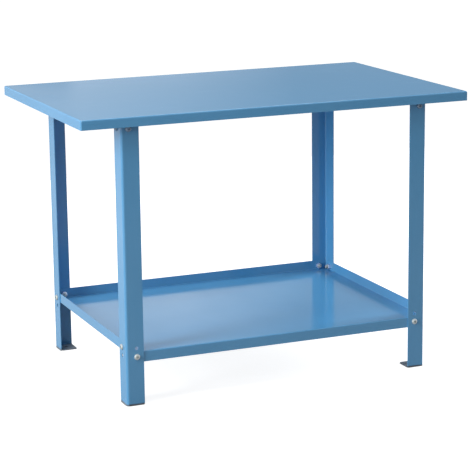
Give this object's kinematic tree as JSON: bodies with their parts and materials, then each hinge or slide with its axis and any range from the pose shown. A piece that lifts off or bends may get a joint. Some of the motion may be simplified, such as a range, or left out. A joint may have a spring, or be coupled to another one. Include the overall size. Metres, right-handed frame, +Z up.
{
  "type": "workbench",
  "caption": "Painted sheet-steel workbench: a flat worktop with folded edges on folded-angle legs, with a rimmed tray shelf bolted low between them.",
  "frame": {"origin": "on the floor, under the middle of the worktop", "axes": "+X to the right along the bench's width, -Y towards the front, where the shelf's lip folds down, +Z up"},
  "size_m": [1.2, 0.75, 0.836],
  "materials": {
    "blue_paint": "glossy mid blue powder coat",
    "zinc": "bright zinc plate"
  },
  "bodies": {
    "root": {"worktop": "blue_paint", "top_stiffener_front": "blue_paint", "top_stiffener_back": "blue_paint", "shelf_tray": "blue_paint", "leg_front_left": "blue_paint", "socket_front_left": "blue_paint", "shelf_bolt_front_left_front": "zinc", "shelf_nut_front_left_front": "zinc", "shelf_bolt_front_left_side": "zinc", "shelf_nut_front_left_side": "zinc", "top_bolt_front_left_front": "zinc", "top_nut_front_left_front": "zinc", "top_bolt_front_left_side": "zinc", "top_nut_front_left_side": "zinc", "leg_front_right": "blue_paint", "socket_front_right": "blue_paint", "shelf_bolt_front_right_front": "zinc", "shelf_nut_front_right_front": "zinc", "shelf_bolt_front_right_side": "zinc", "shelf_nut_front_right_side": "zinc", "top_bolt_front_right_front": "zinc", "top_nut_front_right_front": "zinc", "top_bolt_front_right_side": "zinc", "top_nut_front_right_side": "zinc", "leg_back_left": "blue_paint", "socket_back_left": "blue_paint", "shelf_bolt_back_left_back": "zinc", "shelf_nut_back_left_back": "zinc", "shelf_bolt_back_left_side": "zinc", "shelf_nut_back_left_side": "zinc", "top_bolt_back_left_back": "zinc", "top_nut_back_left_back": "zinc", "top_bolt_back_left_side": "zinc", "top_nut_back_left_side": "zinc", "leg_back_right": "blue_paint", "socket_back_right": "blue_paint", "shelf_bolt_back_right_back": "zinc", "shelf_nut_back_right_back": "zinc", "shelf_bolt_back_right_side": "zinc", "shelf_nut_back_right_side": "zinc", "top_bolt_back_right_back": "zinc", "top_nut_back_right_back": "zinc", "top_bolt_back_right_side": "zinc", "top_nut_back_right_side": "zinc"}
  },
  "joints": []
}
